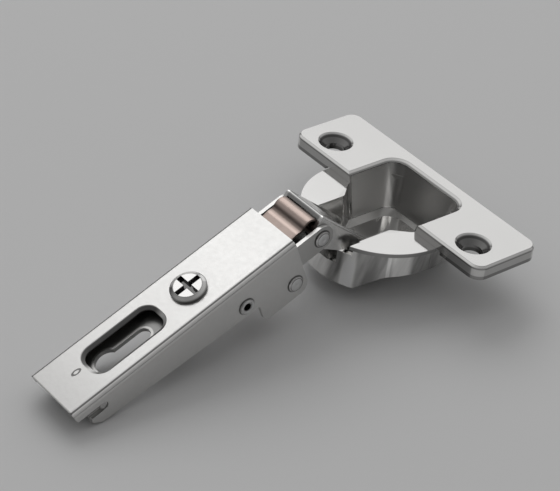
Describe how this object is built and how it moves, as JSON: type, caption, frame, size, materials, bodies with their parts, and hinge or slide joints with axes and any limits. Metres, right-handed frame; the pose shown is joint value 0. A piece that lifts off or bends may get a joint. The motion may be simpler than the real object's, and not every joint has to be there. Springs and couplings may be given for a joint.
{
  "type": "concealed cup hinge",
  "caption": "Concealed furniture hinge with a 35 mm bored cup, screw flange, folding links, leaf closing spring and a slotted arm for a mounting plate",
  "frame": {"origin": "on the cup's axis, in the plane of the door face that the flange rests on", "axes": "X from the arm towards the back of the flange, Y along the two cup screws, Z out of the door; the cup goes down into the door along -Z; the hinge rests fully open"},
  "size_m": [0.1084, 0.0644, 0.0321],
  "materials": {
    "cast_nickel": "bright nickel plate on zinc",
    "sheet_nickel": "satin nickel plate on folded steel sheet",
    "inner_sheet": "zinc plated steel sheet",
    "link_nickel": "bright nickel plate on steel",
    "pin_steel": "turned steel",
    "spring_copper": "copper plated spring steel",
    "screw_nickel": "nickel plated steel"
  },
  "bodies": {
    "cup": {"hinge_cup": "cast_nickel", "outer_link_pin_left": "pin_steel", "outer_link_pin_right": "pin_steel", "inner_link_pin": "pin_steel"},
    "outer_link": {"outer_link": "link_nickel"},
    "arm": {"arm_shell": "sheet_nickel", "ear_channel": "inner_sheet", "front_rivet": "pin_steel", "lower_rivet": "pin_steel", "lower_sleeve_left": "pin_steel", "lower_sleeve_right": "pin_steel", "anchor_rivet": "pin_steel", "closing_spring": "spring_copper"},
    "inner_link": {"inner_link": "link_nickel"},
    "side_screw": {"side_adjust_screw": "screw_nickel"},
    "base": {"base_channel": "inner_sheet", "tilt_pin": "pin_steel"}
  },
  "joints": [
    {"name": "door_fold", "type": "hinge", "parent": "cup", "child": "outer_link", "pos_m": [-0.01, 0, -0.0044], "axis": [0, 1, 0], "range_deg": [0, 108.34]},
    {"name": "arm_fold", "type": "hinge", "parent": "outer_link", "child": "arm", "pos_m": [-0.02445, 0, 0.00507], "axis": [0, 1, 0], "range_deg": [0, 5.14]},
    {"name": "inner_fold", "type": "hinge", "parent": "arm", "child": "inner_link", "pos_m": [-0.03152, 0, -0.00389], "axis": [0, 1, 0], "range_deg": [-20.82, 0]},
    {"name": "side_screw_turn", "type": "hinge", "parent": "arm", "child": "side_screw", "pos_m": [-0.05488, 0, -0.00182], "axis": [-0.3984, 0, 0.9172], "range_deg": [-360, 360]},
    {"name": "base_tilt", "type": "hinge", "parent": "arm", "child": "base", "pos_m": [-0.08138, 0, -0.01737], "axis": [0, 1, 0], "range_deg": [-1.88, 1.88]}
  ],
  "couplings": [
    {"joint": "arm_fold", "follows": "door_fold", "ratio": 0.04749},
    {"joint": "inner_fold", "follows": "door_fold", "ratio": -0.19216},
    {"joint": "base_tilt", "follows": "side_screw_turn", "ratio": 0.0052183}
  ]
}
